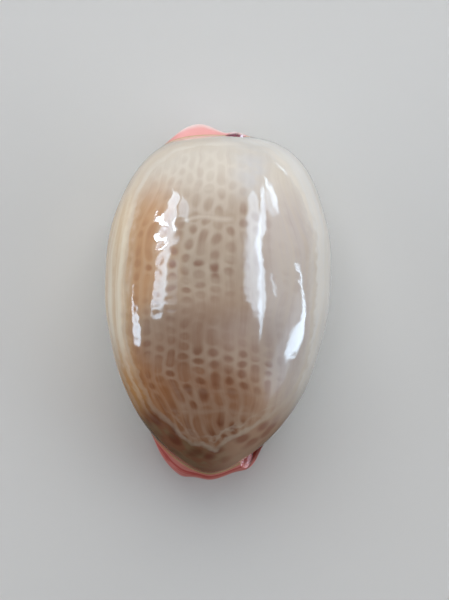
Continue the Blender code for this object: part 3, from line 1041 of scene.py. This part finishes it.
# floor, surroundings, camera and light
stageLook = {
    "floor": colour(214, 213, 211),
    "floorHalf": 1.5,
    "world": colour(206, 208, 212),
    "worldStrength": 0.30,
    "worldGloss": 0.32,  # as the glaze mirrors it
    "lowGloss": 0.65,  # the same, below the level of the floor
    "frontGloss": 0.06,  # and in front of the shell
    "low": (-0.45, -0.95),  # the downward part of a direction: where lowGloss begins and is complete
    "front": ((-0.15, -0.02), (-0.7, -0.2)),  # its part to the front, for frontGloss: each level and low
    "floorRoughness": 0.7,
}


def makeFloor():
    half = stageLook["floorHalf"]
    mesh = bpy.data.meshes.new("floor")
    corners = [(-half, -half, 0.0), (half, -half, 0.0), (half, half, 0.0), (-half, half, 0.0)]
    mesh.from_pydata(corners, [], [(0, 1, 2, 3)])
    floor = intoScene("floor", mesh)
    material = bpy.data.materials.new("floor")
    bench = NodeBench(material)
    bench.shader.inputs["Base Color"].default_value = stageLook["floor"]
    bench.shader.inputs["Roughness"].default_value = stageLook["floorRoughness"]
    mesh.materials.append(material)
    floor.visible_glossy = False  # a glaze this clear would mirror the pale floor all round its edge


def makeWorld():
    world = bpy.data.worlds.new("studio")
    world.use_nodes = True
    background = world.node_tree.nodes["Background"]
    background.inputs[0].default_value = stageLook["world"]
    bench = NodeBench(world)
    glossy = bench.add("ShaderNodeLightPath").outputs["Is Glossy Ray"]
    way = bench.add("ShaderNodeTexCoord").outputs["Generated"]
    _, lengthwise, up = bench.add("ShaderNodeSeparateXYZ", None, Vector=way).outputs
    mirrored = bench.ramp(up, *stageLook["low"], stageLook["worldGloss"], stageLook["lowGloss"])
    frontFrom, frontFull = (bench.ramp(up, *stageLook["low"], *change) for change in stageLook["front"])
    mirrored = bench.ramp(lengthwise, frontFrom, frontFull, mirrored, stageLook["frontGloss"])
    more = bench.math("SUBTRACT", mirrored, stageLook["worldStrength"])
    bench.feed(background.inputs[1], bench.math("MULTIPLY_ADD", glossy, more, stageLook["worldStrength"]))
    bpy.context.scene.world = world
    bpy.context.scene.view_settings.view_transform = "Standard"


cameraLook = {
    "lens": 400.0,
    "sensor": 36.0,
    "mmPerPixel": 0.10644,
    "longSide": 600,
    "focusZ": 5.5,  # height at which the scale holds, in mm
    "aim": (0.807, 0.38),  # what the middle of the picture shows, in mm
    "roll": 2.6,
    "clip": (0.01, 10.0),
}


def makeCamera():
    data = bpy.data.cameras.new("camera")
    data.lens = cameraLook["lens"]
    data.sensor_width = cameraLook["sensor"]
    data.clip_start, data.clip_end = cameraLook["clip"]
    camera = intoScene("camera", data)
    span = cameraLook["mmPerPixel"] * cameraLook["longSide"]
    distance = cameraLook["lens"] / cameraLook["sensor"] * span
    camera.location = [part * mm for part in (*cameraLook["aim"], cameraLook["focusZ"] + distance)]
    camera.rotation_euler = (0.0, 0.0, math.radians(cameraLook["roll"]))
    bpy.context.scene.camera = camera


lightCentre = (0.0, 0.0, 10.0)  # what the lights and ribbons stand round, in mm

# soft lights that shape the shell: place and size in mm, radiance
softLook = {
    "rearSoftbox": {"at": (0.0, 330.0, 330.0), "size": (500.0, 320.0), "radiance": 2.6},
    "topSoftbox": {"at": (0.0, 60.0, 520.0), "size": (420.0, 420.0), "radiance": 0.55},
    "leftSoftbox": {"at": (-420.0, 20.0, 160.0), "size": (400.0, 260.0), "radiance": 1.25},
    "rightSoftbox": {"at": (420.0, 10.0, 200.0), "size": (400.0, 260.0), "radiance": 1.55},
}


def makeSoftbox(name, look):  # faces the shell, and doesn't show in the glaze
    data = bpy.data.lights.new(name, "AREA")
    data.shape = "RECTANGLE"
    data.size_y, data.size = (side * mm for side in look["size"])
    data.energy = look["radiance"] * math.pi * data.size * data.size_y
    light = intoScene(name, data)
    place = Vector(look["at"])
    away = (place - Vector(lightCentre)).normalized()
    lengthwise = Vector((0.0, 1.0, 0.0) if place.x else (1.0, 0.0, 0.0))
    side = lengthwise.cross(away).normalized()
    turned = Matrix((side, away.cross(side), away)).transposed().to_4x4()
    turned.translation = place * mm
    light.matrix_world = turned
    light.visible_camera = light.visible_glossy = False


# glowing ribbons that only show as gloss. Each station: angle along the shell, then the two edges as
# angles off upright (left is negative), and how bright it is there
ribbonLook = {
    "leftMain": (11.0, ((-20, -76, -67, 0.9), (-15, -73, -60, 1), (-12, -68, -54, 1), (-8, -66, -53, 1),
                        (-2, -66, -54, 1), (3, -67, -55, 1), (12, -69, -53, 1), (22, -72, -48, 0.9),
                        (31, -76, -50, 0.9), (41, -80, -56, 1), (46, -85, -60, 1), (52, -92, -68, 1),
                        (57, -100, -80, 0.9))),
    "leftVeil": (6.0, ((40, -55, -36, 1), (48, -59, -40, 1), (54, -65, -44, 1), (61, -78, -66, 1))),
    "leftVeilLow": (1.8, ((-14, -56, -46, 1), (-6, -55, -41, 1), (4, -57, -42, 1))),
    "leftSpark": (16.0, ((27, -57, -51, 1), (39, -62, -57, 1))),
    "leftLampLow": (60.0, ((16, -74, -66, 1), (19, -77, -63, 1), (23, -77, -64, 1))),
    "leftLampHigh": (60.0, ((28, -80, -64, 1), (31, -83, -67, 1), (35, -85, -72, 1), (38, -84, -76, 1))),
    "rightMain": (8.5, ((-20, 45, 52, 0.7), (-14, 37, 50, 1), (-10, 31, 48, 1), (-5, 29, 46, 1),
                        (6, 28, 44, 1), (26, 29, 43, 1), (48, 33, 57, 1), (62, 47, 70, 0.8),
                        (67, 58, 76, 0.5))),
    "rightEdge": (11.0, ((-30, 55, 57, 1), (-25, 51, 56, 1), (-20, 47, 55, 1), (-14, 45, 55, 1),
                         (-10, 45, 54, 1), (-5, 42, 50, 1), (6, 40, 47, 1), (17, 38, 44, 1),
                         (26, 38, 46, 1), (34, 42, 56, 1), (46, 50, 65, 1), (57, 69, 79, 1),
                         (63, 88, 96, 1))),
    "rightUpper": (11.0, ((42, 81, 84, 0.8), (47, 82, 88, 1), (51, 84, 92, 1), (56, 88, 97, 1),
                          (60, 96, 105, 1), (63, 110, 116, 0.8))),
    "rightUpperVeil": (5.0, ((42, 74, 81, 0.8), (47, 71, 82, 1), (51, 71, 84, 1), (56, 77, 88, 1),
                             (60, 90, 96, 0.7))),
    "rightLowVeil": (1.5, ((-46, 82, 102, 0.5), (-38, 79, 107, 1), (-28, 78, 110, 1), (-20, 79, 112, 1),
                           (-12, 84, 110, 1), (-4, 88, 104, 0.8))),
    "rightStreak": (7.0, ((-9, 64, 68, 1), (-5, 59, 63, 1), (-1, 55, 58, 1))),
    "rightLow": (11.0, ((-30, 91, 100, 0.7), (-26, 90, 105, 1), (-23, 89, 114, 1), (-20, 87, 117, 1),
                        (-16, 90, 116, 1), (-13, 98, 108, 1), (-9, 99, 107, 1), (-5, 98, 104, 1),
                        (-2, 92, 97, 1), (1, 87, 91, 1), (6, 82, 84, 0.8))),
    "leftLow": (11.0, ((-24, -105, -95, 0.8), (-20, -105, -94, 1), (-17, -104, -97, 1), (-11, -102, -98, 1),
                       (-3, -100, -98, 0.8))),
    "rightSpark": (3.0, ((42, 132, 138, 0.7), (45, 136, 143, 1), (48, 140, 149, 0.7))),
}

ribbonForm = {
    "distance": 350.0,
    "steps": 40,
    "softEdge": 0.16,  # share of the width over which an edge fades
    "softEnd": 0.05,
    "tint": colour(208, 233, 255),
}


def glowMaterial(name, radiance):
    material = bpy.data.materials.new(name)
    bench = NodeBench(material)
    glow = bench.add("ShaderNodeEmission", None, Color=ribbonForm["tint"],
                     Strength=bench.math("MULTIPLY", bench.mark("glow"), radiance))
    both = bench.add("ShaderNodeAddShader")  # ribbons that cross add their light
    bench.tree.links.new(glow.outputs[0], both.inputs[0])
    bench.tree.links.new(bench.add("ShaderNodeBsdfTransparent").outputs[0], both.inputs[1])
    bench.tree.links.new(both.outputs[0], bench.tree.nodes["Material Output"].inputs[0])
    bench.tree.nodes.remove(bench.shader)
    return material


def makeRibbon(name, radiance, stations):
    stations = np.array(stations, dtype=float)
    travelled = np.arange(len(stations))
    at = np.linspace(0.0, len(stations) - 1.0, ribbonForm["steps"])
    lengthwise, low, high, bright = (np.interp(at, travelled, stations[:, k]) for k in range(4))
    ends = np.minimum(at, at[-1] - at) / at[-1]
    bright = bright * ease(0.0, ribbonForm["softEnd"], ends)
    columns = (0.0, ribbonForm["softEdge"], 0.5, 1.0 - ribbonForm["softEdge"], 1.0)
    glows = (0.0, 1.0, 1.0, 1.0, 0.0)
    points, glow = [], []
    for share, shine in zip(columns, glows):
        off = np.radians(low + (high - low) * share)
        way = np.stack([np.sin(off), np.tan(np.radians(lengthwise)), np.cos(off)], axis=-1)
        points.append(ribbonForm["distance"] * way)
        glow.append(bright * shine)
    points = (np.concatenate(points) + np.array(lightCentre)) * mm
    steps = len(at)
    faces = [(c * steps + r, c * steps + r + 1, (c + 1) * steps + r + 1, (c + 1) * steps + r)
             for c in range(len(columns) - 1) for r in range(steps - 1)]
    mesh = bpy.data.meshes.new(name)
    mesh.from_pydata(points.tolist(), [], faces)
    mark = mesh.attributes.new("glow", "FLOAT", "POINT")
    mark.data.foreach_set("value", np.concatenate(glow).astype(np.float32))
    mesh.materials.append(glowMaterial(name, radiance))
    ribbon = intoScene(name, mesh)
    ribbon.visible_camera = ribbon.visible_diffuse = ribbon.visible_shadow = False


makeFloor()
makeWorld()
makeCamera()
for name, look in softLook.items():
    makeSoftbox(name, look)
for name, (radiance, stations) in ribbonLook.items():
    makeRibbon(name, radiance, stations)
print("stage 5: floor, camera and lights")
